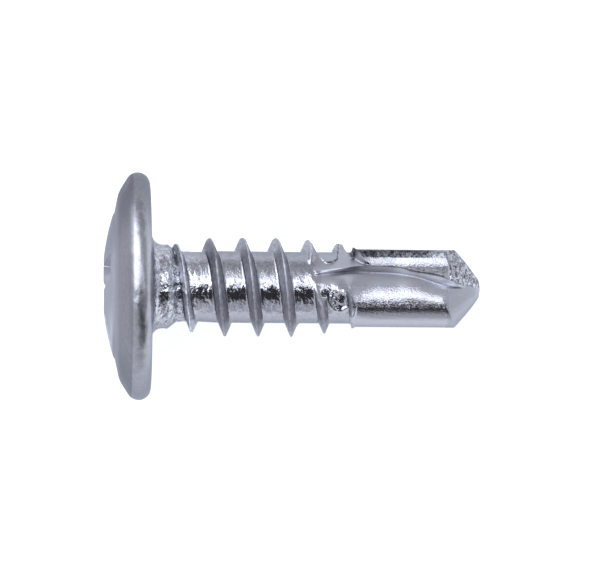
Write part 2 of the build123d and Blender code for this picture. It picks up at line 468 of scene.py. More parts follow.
@dataclass(frozen=True)
class Ramp:
    """The flat ramp that is pressed into the last turns before each land, and the gouge beside it."""

    facing: Line = ((6.5, 1.05), (7.3, 0.80), (7.8, 0.715), (8.2, 0.67), (9.2, 0.68))
    distance: Line = ((6.5, 1.495), (7.0, 1.485), (7.33, 1.47), (8.09, 1.335), (9.2, 1.157))
    begin: float = 6.83
    begin_at: float = 0.56
    begin_slant: float = 0.57
    begin_slope: float = 2.0
    end: float = 9.22
    end_slope: float = 20.0
    least_cosine: float = 0.05
    brink: Line = ((6.85, 0.50), (7.10, 0.61), (7.27, 0.76), (7.48, 0.785), (7.735, 0.63), (7.86, 0.2), (7.9, 0.0))
    gouge: Band = ((6.85, 6.95), (7.86, 7.9))
    gouge_edge: Span = (-0.02, 0.03)
    gouge_rise: float = 0.3
    gouge_lip: float = 0.045
    ramp_lip: float = 0.03
    lip_half: float = 0.05
    blend: float = 0.10
    gouge_blend: float = 0.06

    def flat(self, bench: Bench, s: Strand, inner: Strand) -> Strand:
        """Radius of the ramp itself.

        Args:
            bench: the tree's bench.
            s: distance along the axis.
            inner: direction within the half.

        Returns:
            The radius there, which is large beyond the ramp's ends.
        """
        facing, distance = bench.curve(s, self.facing), bench.curve(s, self.distance)
        begin = self.begin - (inner - self.begin_at) * self.begin_slant
        steep = (begin - s).most(0.0) * self.begin_slope
        past = (s - self.end).most(0.0) * self.end_slope
        return (distance + steep + past) / (inner - facing).call("COSINE").most(self.least_cosine)

    def pressed(self, bench: Bench, s: Strand, inner: Strand, base: Strand) -> Strand:
        """The threaded shank with the ramp pressed into it.

        Args:
            bench: the tree's bench.
            s: distance along the axis.
            inner: direction within the half.
            base: radius of the shank before.

        Returns:
            The radius after, with the lips that the ramp and the gouge push up.
        """
        flat = self.flat(bench, s, inner)
        past = bench.curve(s, self.brink) - inner
        gouge = s.band(*self.gouge)
        lip = past.tent(0.0, self.lip_half) * gouge * self.gouge_lip
        cut = base.soft_least(flat + past.eased(*self.gouge_edge) * gouge * self.gouge_rise,
                              self.blend - gouge * self.gouge_blend)
        return cut + base.tent(flat, self.lip_half) * (1 - gouge) * self.ramp_lip + lip


@dataclass(frozen=True)
class Crater:
    """The torn hollow between the last thread and each lobe, with its raised lip."""

    middle_s: float = 7.85
    middle_u: float = -0.56
    half_s: float = 0.42
    half_u: float = 0.40
    inside: Span = (0.70, 1.05)
    depth: float = 0.07
    torn: float = 0.20
    lip_at: float = 1.02
    lip_half: float = 0.22
    lip_height: float = 0.045
    lip_least: float = 0.6
    lip_torn: float = 1.6
    front: Span = (1.3, 1.45)
    noise_r: float = 1.5
    noise: Noise = Noise(4.6, 1.0, 0.5)

    def height(self, bench: Bench, s: Strand, inner: Strand, angle: Strand, root_r: float) -> Strand:
        """How far the hollow and its lip stand off the surface.

        Args:
            bench: the tree's bench.
            s: distance along the axis.
            inner: direction within the half.
            angle: direction around the axis.
            root_r: radius that the hollow is laid out on.

        Returns:
            The height there, which is below zero in the hollow.
        """
        off_s = (s - self.middle_s) / self.half_s
        off_u = (root_r * inner.call("COSINE") - self.middle_u) / self.half_u
        away = (off_s * off_s + off_u * off_u).call("SQRT")
        lip = away.tent(self.lip_at, self.lip_half) * self.lip_height
        rough = bench.noise(bench.around(angle, self.noise_r, s), self.noise) - 0.5
        hollow = (1 - away.eased(*self.inside)) * (rough * self.torn - self.depth)
        return (hollow + lip * (self.lip_least + rough * self.lip_torn)) * inner.eased(*self.front)


@dataclass(frozen=True)
class Section:
    """The drill point's half section: land, flute wall, flute floor and the back of the lobe.

    Each line gives the place across (u) or above (v) of one corner for a few places along the axis: edge is where the
    land meets the wall, deep where the wall meets the floor, and lobe where the floor meets the lobe's back.
    """

    edge_u: Line = ((6.64, 0.57), (7.2, 0.70), (8.05, 0.83), (8.5, 0.88), (9.22, 0.93), (10.11, 0.93), (11.0, 0.745),
                    (12.05, 0.58), (12.59, 0.40), (13.12, 0.20), (13.64, 0.04), (14.04, -0.08))
    edge_v: Line = ((6.64, 1.42), (7.2, 1.40), (8.05, 1.10), (9.22, 0.70), (10.11, 0.70), (11.0, 0.79), (12.05, 0.88),
                    (12.59, 0.92), (14.04, 0.95))
    deep_u: Line = ((6.65, 0.47), (7.23, 0.59), (7.9, 0.68), (8.4, 0.72), (9.24, 0.70), (10.14, 0.67), (11.04, 0.55),
                    (12.1, 0.24), (12.65, 0.12), (13.2, 0.01), (13.73, -0.10), (14.14, -0.18))
    deep_v: Line = ((6.65, 1.45), (7.23, 1.29), (7.71, 1.03), (8.12, 0.86), (8.54, 0.69), (9.0, 0.60), (9.4, 0.575),
                    (10.14, 0.565), (11.04, 0.697), (12.1, 0.70), (12.65, 0.70), (13.2, 0.66), (13.73, 0.50),
                    (14.14, 0.40))
    lobe_u: Line = ((6.65, -0.50), (7.1, -0.52), (7.4, -0.25), (7.7, -0.04), (7.95, -0.05), (8.25, -0.28),
                    (8.55, -0.54), (8.9, -0.59))
    lobe_v: Line = ((6.65, 1.50), (7.1, 1.46), (7.4, 1.50), (7.7, 1.52), (7.95, 1.48), (8.25, 1.37), (8.55, 1.27),
                    (8.9, 1.19), (9.3, 1.15))
    land_flat: float = 0.93
    land_fall: float = 0.35
    land_tilt: float = 0.04
    land_inset: float = 0.015
    corner_share: float = 0.28
    corner_jump: float = 9.0
    nick_half: float = 0.14
    nick_u: float = 0.030
    nick_v: float = 0.022
    floor_bow: float = 0.468
    land_columns: int = 26
    wall_columns: int = 6
    floor_columns: int = 40

    @property
    def wall_end(self) -> int:
        """The column where the flute's floor begins."""
        return self.land_columns + self.wall_columns

    @property
    def floor_end(self) -> int:
        """The column where the back of the lobe begins."""
        return self.wall_end + self.floor_columns

    def off_flute(self, step: Strand) -> Strand:
        """1 on the land and the lobe's back, 0 in the flute."""
        past_land = step.call("GREATER_THAN", self.land_columns + 0.5)
        return 1 - past_land * (1 - step.call("GREATER_THAN", self.floor_end - 0.5))

    def land(self, edge_u: Strand, edge_v: Strand, land_t: Strand, land_r: Strand) -> tuple[Strand, Strand]:
        """The land and the outer corner that it ends in.

        Args:
            edge_u: place across of the land's edge at the flute.
            edge_v: place above of the same edge.
            land_t: how far the column is along the land, from its outer corner to the flute.
            land_r: radius of the lands' outer corners.

        Returns:
            The land's u and v.
        """
        lift = land_t.over(0.0, self.corner_share)
        away = (land_r - self.land_inset - edge_u) * (1 - land_t.over(self.corner_share, 1.0))
        top_v = edge_v - self.land_fall * (edge_u + away - self.land_flat).most(0.0).call("POWER", 2.0)
        top_v = top_v + (self.land_flat - edge_u - away).most(0.0) * self.land_tilt
        corner_v = edge_v - self.land_fall * (land_r - self.land_inset - self.land_flat).call("POWER", 2.0)
        past_corner = land_t.over(self.corner_share - 1e-4, self.corner_share)
        nick = land_t.tent(self.corner_share, self.nick_half)
        arc_u = edge_u + away + self.land_inset * (1 - lift) - self.nick_u * nick * nick
        arc_v = top_v.least(corner_v * lift + self.corner_jump * past_corner) - self.nick_v * nick * nick
        return arc_u, arc_v

    def place(self, bench: Bench, s: Strand, step: Strand, land_r: Strand) -> tuple[Strand, Strand, Strand]:
        """The section at a column.

        Args:
            bench: the tree's bench.
            s: distance along the axis.
            step: column within the half.
            land_r: radius of the lands' outer corners.

        Returns:
            The section's u and v, and how far it is along the flute's floor.
        """
        wall_t = step.over(self.land_columns, self.wall_end)
        floor_t = step.over(self.wall_end, self.floor_end)
        quarter = step.over(self.floor_end, HALF) * (math.pi / 2)
        edge_u, deep_u, lobe_u = (bench.curve(s, line) for line in (self.edge_u, self.deep_u, self.lobe_u))
        edge_v, deep_v, lobe_v = (bench.curve(s, line) for line in (self.edge_v, self.deep_v, self.lobe_v))
        arc_u, arc_v = self.land(edge_u, edge_v, step.over(0, self.land_columns), land_r)
        bow = floor_t * (1 - floor_t) * self.floor_bow
        run_u, run_v = lobe_u - deep_u, lobe_v - deep_v
        u = arc_u + (deep_u - edge_u) * wall_t + run_u * floor_t + run_v * bow
        u = u - (land_r + lobe_u) * quarter.call("SINE")
        tilt = (self.land_flat - edge_u).most(0.0) * self.land_tilt
        v = arc_v + (deep_v - edge_v - tilt) * wall_t + run_v * floor_t - run_u * bow
        v = v + lobe_v * (quarter.call("COSINE") - 1)
        return u, v, floor_t


@dataclass(frozen=True)
class Relief:
    """The pinched point's outline, which shrinks evenly to the chisel edge."""

    begin: float = 12.90
    short: float = 0.03
    chisel_r: float = 0.30
    power: float = 0.85
    flatness: Line = ((0.0, 0.51), (1.16, 0.505), (1.45, 0.485), (1.74, 0.48), (2.09, 0.53), (2.34, 0.585),
                      (2.75, 0.62), (math.pi, 0.62))

    def limit(self, bench: Bench, s: Strand, inner: Strand, length: Strand, land_r: Strand) -> Strand:
        """The largest radius that the relief leaves.

        Args:
            bench: the tree's bench.
            s: distance along the axis.
            inner: direction within the half.
            length: distance to the tip.
            land_r: radius of the lands' outer corners.

        Returns:
            The radius there.
        """
        wide, thick = inner.call("COSINE"), inner.call("SINE")
        end = length - self.short
        share = ((end - s) / (end - self.begin)).most(0.0).call("POWER", self.power)
        cone = self.chisel_r + (land_r - self.chisel_r) * share
        flat = bench.curve(inner, self.flatness)
        return cone * (wide * wide + thick * thick / (flat * flat)).call("INVERSE_SQRT")


@dataclass(frozen=True)
class Scuff:
    """A stretch where the dies left the surface uneven."""

    reach: Band
    height: float
    level: float
    noise: Noise

    def lift(self, bench: Bench, s: Strand, around: bpy.types.NodeSocket, share: Number = 1.0) -> Strand:
        """How far the surface stands off its even form.

        Args:
            bench: the tree's bench.
            s: distance along the axis.
            around: the place that the noise is read at.
            share: how much of the scuff shows there.

        Returns:
            The height there.
        """
        return (bench.noise(around, self.noise) - self.level) * (s.band(*self.reach) * share) * self.height


@dataclass
class Shank:
    """The threaded shank and drill point: a net of rows and columns, placed by a rule.

    Rows climb with the thread in the threaded stretch and are level beyond the seam. Half of the columns go round each
    half of the screw: first the land, then the flute's wall and floor, and then the back of the lobe.
    """

    neck: Neck = Neck()
    thread: Thread = Thread()
    ramp: Ramp = Ramp()
    crater: Crater = Crater()
    section: Section = Section()
    relief: Relief = Relief()
    rolled: Scuff = Scuff(((0.5, 0.65), (1.3, 1.7)), 0.16, 0.5, Noise(3.2, 3.0, 0.65))
    flash: Scuff = Scuff(((12.5, 12.75), (13.75, 13.9)), 0.14, 0.62, Noise(3.6, 2.0, 0.55))
    flash_front: Span = (1.05, 1.25)
    scuff_r: float = 1.7
    start: float = 0.45
    seam: float = 7.95
    edge_row: float = 8.50
    edge_end: float = 9.60
    body_end: float = 12.15
    length: float = 14.0
    closing: float = 0.06
    land_r: float = 1.66
    root_blend: float = 0.06
    relief_blend: float = 0.035
    follow: Band = ((6.15, 6.60), (13.6, 13.9))
    flute_start: float = 6.63
    flute_lag: float = 0.47
    flute_slope: float = 1.3
    flute_blend: float = 0.02
    burr_at: float = -0.04
    burr_half: float = 0.07
    burr_height: float = 0.035
    burr_columns: Span = (30, 38)
    shoulder: Span = (0.01, 0.035)
    bead_at: float = 0.03
    bead_half: float = 0.10
    back_bead: float = 0.07
    back_columns: Span = (76, 90)
    front_bead: float = 0.08
    front_columns: Span = (2, 8)
    slant: Line = ((0, 8.48), (6, 8.55), (13, 8.72), (20, 8.97), (26, 9.22), (32, 9.22), (50, 8.75))
    wave: Line = ((0.0, 8.40), (0.09, 8.49), (0.18, 8.48), (0.39, 8.38), (0.49, 8.33), (0.69, 8.50), (0.86, 8.52),
                  (1.0, 8.48))
    soft_start: Band = ((6.0, 6.25), (7.15, 7.35))
    soft_front: Span = (2.2, 2.6)
    soft_mouth: Span = (6.75, 6.9)
    mouth_front: Span = (0.95, 1.05)
    soft_lobe: Band = ((8.1, 8.25), (8.6, 8.75))
    lobe_front: Span = (2.1, 2.3)
    lobe_share: float = 0.5
    soft_rounds: int = 4
    rows_per_turn: int = 32
    edge_rows: int = 16
    flute_rows: int = 32
    body_rows: int = 22
    point_rows: int = 52
    closing_rows: int = 4
    size: dict[str, Strand] = field(init=False, repr=False)

    def inputs(self) -> dict[str, float]:
        """List the tree's named inputs.

        Returns:
            Each input's value, by its name.
        """
        return {
            "Root Radius": self.thread.root_r,
            "Thread Radius": self.thread.crest_r,
            "Pitch": self.thread.pitch,
            "Land Radius": self.land_r,
            "Length": self.length,
        }

    def build(self, material: bpy.types.Material) -> bpy.types.Object:
        """Build both stretches with one node tree.

        Args:
            material: the finish that the tree sets.

        Returns:
            An object with a plain mesh, in millimetres in the screw's frame.
        """
        tree = bpy.data.node_groups.new("shank", "GeometryNodeTree")
        tree.interface.new_socket("Geometry", in_out="OUTPUT", socket_type="NodeSocketGeometry")
        ports = {}
        for name, value in self.inputs().items():
            port = tree.interface.new_socket(name, in_out="INPUT", socket_type="NodeSocketFloat")
            port.default_value = value
            ports[name] = port.identifier
        bench = Bench(tree)
        entry = bench.node("NodeGroupInput")
        self.size = {name: bench.strand(entry, name) for name in ports}
        joined = bench.node("GeometryNodeJoinGeometry")
        for stretch in Stretch:
            bench.feed(joined.inputs[0], self.net(bench, stretch))
        merged = bench.node("GeometryNodeMergeByDistance", None, {"Geometry": joined.outputs[0], "Distance": WELD})
        soft = self.softened(bench, merged.outputs[0])
        real = bench.node("GeometryNodeRealizeInstances", None, {0: soft})
        dressed = bench.node("GeometryNodeSetMaterial", None, {"Geometry": real.outputs[0], "Material": material})
        bench.node("NodeGroupOutput", None, {0: dressed.outputs[0]})

        made = new_object("shank", bpy.data.meshes.new("shank_seed"))
        modifier = made.modifiers.new("shank", "NODES")
        modifier.node_group = tree
        for name, identifier in ports.items():
            modifier[identifier] = self.inputs()[name]
        bpy.context.view_layer.update()
        apply_modifier(made, modifier)
        return made

    def net(self, bench: Bench, stretch: Stretch) -> bpy.types.NodeSocket:
        """A grid with each point moved to its place on the screw.

        Args:
            bench: the tree's bench.
            stretch: the stretch of the shank that the grid covers.

        Returns:
            The placed grid.
        """
        threaded = stretch is Stretch.THREADED
        turns = math.ceil((self.seam - self.first_depth()) / self.thread.pitch)
        rows = turns * self.rows_per_turn if threaded else self.straight_rows()
        grid = bench.node("GeometryNodeMeshGrid", None, {
            "Size X": float(rows), "Size Y": float(COLUMNS), "Vertices X": rows + 1, "Vertices Y": COLUMNS + 1})
        spot = bench.parts(bench.node("GeometryNodeInputPosition").outputs[0])
        row = (spot[0] + rows / 2).call("ROUND")
        column = (spot[1] + COLUMNS / 2).call("ROUND")
        if threaded:
            depth, closing = self.threaded_depth(row, column), 1.0
        else:
            depth, closing = self.straight_depth(row)
        radius, angle, depth = self.surface(bench, depth, column)
        place = bench.around(angle, radius * closing, depth)
        moved = bench.node("GeometryNodeSetPosition", None, {"Geometry": grid.outputs[0], "Position": place})
        return moved.outputs[0]

    def softened(self, bench: Bench, net: bpy.types.NodeSocket) -> bpy.types.NodeSocket:
        """The net with its points evened out where tool marks cross its rows.

        Args:
            bench: the tree's bench.
            net: the placed and merged net.

        Returns:
            The same net, smoother where each flute starts and beside each lobe.
        """
        position = bench.node("GeometryNodeInputPosition").outputs[0]
        x, y, s = bench.parts(position)
        inner = half_direction(x, y)
        near_start = s.band(*self.soft_start) * (1 - inner.eased(*self.soft_front))
        near_start = near_start * (1 - s.eased(*self.soft_mouth) * (1 - inner.eased(*self.mouth_front)))
        near_lobe = s.band(*self.soft_lobe) * inner.eased(*self.lobe_front) * self.lobe_share
        blurred = bench.node("GeometryNodeBlurAttribute", {"data_type": "FLOAT_VECTOR"}, {
            "Value": position, "Iterations": self.soft_rounds, "Weight": near_start + near_lobe})
        moved = bench.node("GeometryNodeSetPosition", None, {"Geometry": net, "Position": blurred.outputs[0]})
        return moved.outputs[0]

    def threaded_depth(self, row: Strand, column: Strand) -> Strand:
        """Distance along the axis of a row that climbs with the thread, kept within the stretch.

        Args:
            row: row of the net.
            column: column of the net.

        Returns:
            The distance there.
        """
        depth = self.first_depth() + self.size["Pitch"] * (row / self.rows_per_turn + column / COLUMNS)
        return depth.held(self.start, self.seam)

    def first_depth(self) -> float:
        """Where the first row begins: midway between crests, more than a turn before the stretch."""
        middle = self.thread.crest_at - self.thread.pitch / 2
        return middle - self.thread.pitch * math.ceil((middle - self.start) / self.thread.pitch + 1)

    def straight_rows(self) -> int:
        """How many rows the straight stretch has."""
        return self.edge_rows + self.flute_rows + self.body_rows + self.point_rows + self.closing_rows

    def straight_depth(self, row: Strand) -> tuple[Strand, Strand]:
        """Where a level row lies, down to the closed tip.

        Args:
            row: row of the net.

        Returns:
            Its distance along the axis, and its share of the full radius.
        """
        depth, first, place = self.seam, 0, self.seam
        stops = [(self.edge_rows, self.edge_row), (self.flute_rows, self.edge_end), (self.body_rows, self.body_end),
                 (self.point_rows, self.length - self.closing)]
        for count, stop in stops:
            depth = depth + row.over(first, first + count) * (stop - place)
            first, place = first + count, stop
        closing = row.over(first, first + self.closing_rows)
        return depth + closing.call("SQRT") * self.closing, 1 - closing

    def surface(self, bench: Bench, depth: Strand, column: Strand) -> tuple[Strand, Strand, Strand]:
        """The surface at a row and column of the net.

        Args:
            bench: the tree's bench.
            depth: the row's distance along the axis, before the rows bend along the lands' edges.
            column: the column of the net.

        Returns:
            The radius, the direction and the true distance along the axis.
        """
        half = (column / HALF).call("FLOOR")
        step = column - half * HALF
        bend = depth.over(self.seam, self.edge_row) - depth.over(self.edge_row, self.edge_end)
        s = depth + (self.edge_line(bench, step) - self.edge_row) * bend
        u, v, floor_t = self.section.place(bench, s, step, self.size["Land Radius"])
        point_r = (u * u + v * v).call("SQRT")
        inner = (step * (math.pi / HALF)).toward(v.call("ARCTAN2", u), s.band(*self.follow))
        angle = inner + half * math.pi

        shank_r = self.ramp.pressed(bench, s, inner, self.threaded(s, angle))
        on_land = depth.over(self.edge_row - self.shoulder[0], self.edge_row + self.shoulder[1])
        land = shank_r.toward(point_r, on_land) + self.bead(depth, step)
        radius = self.fluted(s, step, floor_t, shank_r, point_r).toward(land, self.section.off_flute(step))

        around = bench.around(angle, self.scuff_r, s)
        radius = radius + self.crater.height(bench, s, inner, angle, self.thread.root_r)
        radius = radius + self.rolled.lift(bench, s, around)
        limit = self.relief.limit(bench, s, inner, self.size["Length"], self.size["Land Radius"])
        radius = radius.soft_least(limit, self.relief_blend)
        radius = radius + self.flash.lift(bench, s, around, 1 - inner.eased(*self.flash_front))
        return radius.most(0.0), angle, s

    def threaded(self, s: Strand, angle: Strand) -> Strand:
        """Radius of the neck, the root and the thread, before the point is pinched.

        Args:
            s: distance along the axis.
            angle: direction around the axis.

        Returns:
            The radius there.
        """
        root = self.neck.radius_at(s, self.size["Root Radius"])
        ridge = self.thread.ridge(s, angle, self.size["Pitch"], self.size["Thread Radius"])
        return root.soft_most(ridge, self.root_blend)

    def edge_line(self, bench: Bench, step: Strand) -> Strand:
        """Where each lobe begins along the axis: the slanting edge of the land, and the wavy one of the back.

        Args:
            bench: the tree's bench.
            step: column within the half.

        Returns:
            The distance along the axis there.
        """
        first = self.section.floor_end
        back = tuple((first + (HALF - first) * share, place) for share, place in self.wave)
        return bench.curve(step, self.slant + back)

    def bead(self, depth: Strand, step: Strand) -> Strand:
        """The bead that stands along the lobe's edge, at its back and at the land's outer corner.

        Args:
            depth: the row's distance along the axis, before the rows bend.
            step: column within the half.

        Returns:
            How far it stands off the surface.
        """
        back = self.back_bead * step.eased(*self.back_columns)
        front = self.front_bead * (1 - step.eased(*self.front_columns))
        return (depth - self.edge_row).tent(self.bead_at, self.bead_half) * (back + front)

    def fluted(self, s: Strand, step: Strand, floor_t: Strand, shank_r: Strand, point_r: Strand) -> Strand:
        """The shank with the flute cut into it, and the burr along the flute's slanting start.

        Args:
            s: distance along the axis.
            step: column within the half.
            floor_t: how far the column is along the flute's floor.
            shank_r: radius of the shank there.
            point_r: radius of the point's section there.

        Returns:
            The radius that the cut leaves.
        """
        begin = self.flute_start + self.flute_lag * floor_t
        lead = (begin - s).most(0.0) * self.flute_slope
        burr = (s - begin).tent(self.burr_at, self.burr_half) * self.burr_height * step.eased(*self.burr_columns)
        return (shank_r + burr).soft_least(point_r + lead, self.flute_blend)


# ---------------------------------------------------------------------------------------------------------------
# The head
# ---------------------------------------------------------------------------------------------------------------


@dataclass
class Head:
    """The domed flange head, down to the start of the shank's net.

    Each corner of the outline is its radius, its place along the axis and the radius of its rounding, whose arc steps
    are in degrees. The head leans by the share called lopsided.
    """

    height: float = 2.10
    dome_r: float = 10.0
    dome_share: float = 0.96
    dome_rings: int = 16
    join_r: float = 1.77
    join_s: float = 0.45
    corners: tuple[tuple[float, float, float], ...] = (
        (3.10, -1.575, 0.10), (3.96, -1.40, 1.2), (4.81, -0.87, 0.50), (4.81, -0.09, 0.50), (1.77, 0.01, 0.46))
    arc_step: float = 11.0
    gap: float = 0.2
    lopsided: float = -0.0120
    level_from: float = -0.5
    level_width: float = 0.6

    def outline(self) -> list[tuple[float, float]]:
        """Lay out the head's outline.

        Returns:
            Radius and height of each ring, from the crown's middle to the neck.
        """
        rings = []
        for step in range(self.dome_rings + 1):
            radius = self.corners[0][0] * self.dome_share * step / self.dome_rings
            rings.append((radius, -self.height + self.dome_r - math.sqrt(self.dome_r**2 - radius**2)))
        path = [rings[-1]] + [corner[:2] for corner in self.corners] + [(self.join_r, self.join_s)]
        for index, corner in enumerate(self.corners):
            rings += self.rounded(path[index], path[index + 1], path[index + 2], corner[2])
        return self.filled(rings + [(self.join_r, self.join_s)])

    def rounded(self, before: tuple, at: tuple, after: tuple, radius: float) -> list[tuple[float, float]]:
        """Round a corner of the outline.

        Args:
            before: the corner before it.
            at: the corner.
            after: the corner after it.
            radius: radius of the rounding.

        Returns:
            Points on the arc.
        """
        here, back, ahead = Vector(at), Vector(before) - Vector(at), Vector(after) - Vector(at)
        back.normalize()
        ahead.normalize()
        half = back.angle(ahead) / 2
        reach = radius / math.tan(half)
        middle = here + (back + ahead).normalized() * (radius / math.sin(half))
        first, last = here + back * reach, here + ahead * reach
        count = max(3, round((math.pi - 2 * half) / math.radians(self.arc_step)))
        points = []
        for step in range(count + 1):
            chord = first.lerp(last, step / count) - middle
            points.append(tuple(middle + chord.normalized() * radius))
        return points

    def filled(self, rings: list[tuple[float, float]]) -> list[tuple[float, float]]:
        """Fill the outline's long gaps evenly.

        Args:
            rings: the outline.

        Returns:
            The outline with no step much longer than the gap.
        """
        out = [rings[0]]
        for ring in rings[1:]:
            last = out[-1]
            count = max(1, math.ceil(math.dist(last, ring) / self.gap))
            out += [tuple(Vector(last).lerp(Vector(ring), step / count)) for step in range(1, count + 1)]
        return out

    def build(self) -> bpy.types.Object:
        """Turn the outline about the axis and close it at the neck.

        Returns:
            The head, without its recess.
        """
        grid = bmesh.new()
        rings = self.outline()
        pole = grid.verts.new((0, 0, rings[0][1]))
        loops = []
        for radius, height in rings[1:]:
            share = min(max((radius - self.join_r) / self.level_width, 0.0), 1.0) if height > self.level_from else 1.0
            loops.append([])
            for j in range(COLUMNS):
                u, v = (radius * math.cos(math.tau * j / COLUMNS), radius * math.sin(math.tau * j / COLUMNS))
                loops[-1].append(grid.verts.new((u, v, height + self.lopsided * u * share)))
        for j in range(COLUMNS):
            k = (j + 1) % COLUMNS
            grid.faces.new((pole, loops[0][k], loops[0][j]))
            for low, high in zip(loops, loops[1:]):
                grid.faces.new((low[j], low[k], high[k], high[j]))
        grid.faces.new(loops[-1])
        bmesh.ops.recalc_face_normals(grid, faces=grid.faces)
        return new_object("head", plain_mesh("head", grid))


@dataclass
class Recess:
    """The cutter of the cross recess: four wings that narrow as they go down, on a rounded core with a tip.

    Its turn about the axis is in degrees.
    """

    across: float = 5.2
    width: float = 1.15
    draft: float = 5.0
    end_draft: float = 30.0
    end_above: float = 0.35
    depth: float = 1.80
    core: float = 2.5
    core_draft: float = 10.0
    pilot: float = 2.45
    turn: float = -19.0
    crown: float = -2.12
    above: float = 0.3
    wings: int = 4
    wing_points: int = 5

    def ring(self, grid: bmesh.types.BMesh, height: float, reach: float, half: float, core: float) -> list:
        """Add a cross-shaped ring of points with a rounded core between the wings.

        Args:
            grid: the mesh that the points go into.
            height: the ring's place along the axis.
            reach: how far out the wings end.
            half: half the wings' width.
            core: radius of the core.

        Returns:
            The ring's points, five to each wing.
        """
        points = []
        for wing in range(self.wings):
            base = math.radians(self.turn + 90 * wing)
            spread = math.asin(min(0.99, half / core))
            for radius, angle in ((core, -spread), (reach, -math.atan2(half, reach)),
                                  (reach, math.atan2(half, reach)), (core, spread), (core, math.pi / 4)):
                size = radius if radius == core else math.hypot(reach, half)
                points.append((size * math.cos(base + angle), size * math.sin(base + angle), height))
        return [grid.verts.new(point) for point in points]

    def build(self) -> bpy.types.Object:
        """Make the cutter as one closed mesh.

        Returns:
            The cutter.
        """
        grid = bmesh.new()
        top, floor = self.crown - self.above, self.crown + self.depth
        fall = floor - top
        end_slope = math.tan(math.radians(self.end_draft))
        rim = self.across / 2 + (self.above + self.end_above) * end_slope
        narrow = fall * math.tan(math.radians(self.draft))
        core_narrow = fall * math.tan(math.radians(self.core_draft))
        high = self.ring(grid, top, rim, self.width / 2, self.core / 2)
        low = self.ring(grid, floor, rim - fall * end_slope, self.width / 2 - narrow, self.core / 2 - core_narrow)
        tip = grid.verts.new((0, 0, self.crown + self.pilot))
        count = len(high)
        for j in range(count):
            k = (j + 1) % count
            grid.faces.new((high[j], high[k], low[k], low[j]))
        core_ring = []
        for first in range(0, count, self.wing_points):
            grid.faces.new(low[first:first + 4])
            core_ring += [low[first], low[first + 3], low[first + 4]]
        for j, corner in enumerate(core_ring):
            grid.faces.new((corner, core_ring[(j + 1) % len(core_ring)], tip))
        grid.faces.new(high)
        bmesh.ops.recalc_face_normals(grid, faces=grid.faces)
        return new_object("recess", plain_mesh("recess", grid))


# ---------------------------------------------------------------------------------------------------------------
# Finish
# ---------------------------------------------------------------------------------------------------------------


@dataclass(frozen=True)
class Patch:
    """How one part of the surface looks.

    Attributes:
        tone: its brightness, as a share of the plating's colour.
        roughness: how far it spreads a reflection.
        grain: how uneven it is at a fine scale.
        mottle: how uneven it is at a coarser scale.
        stain: how strongly spots darken and lighten it.
    """

    tone: float
    roughness: float
    grain: float
    mottle: float
    stain: float


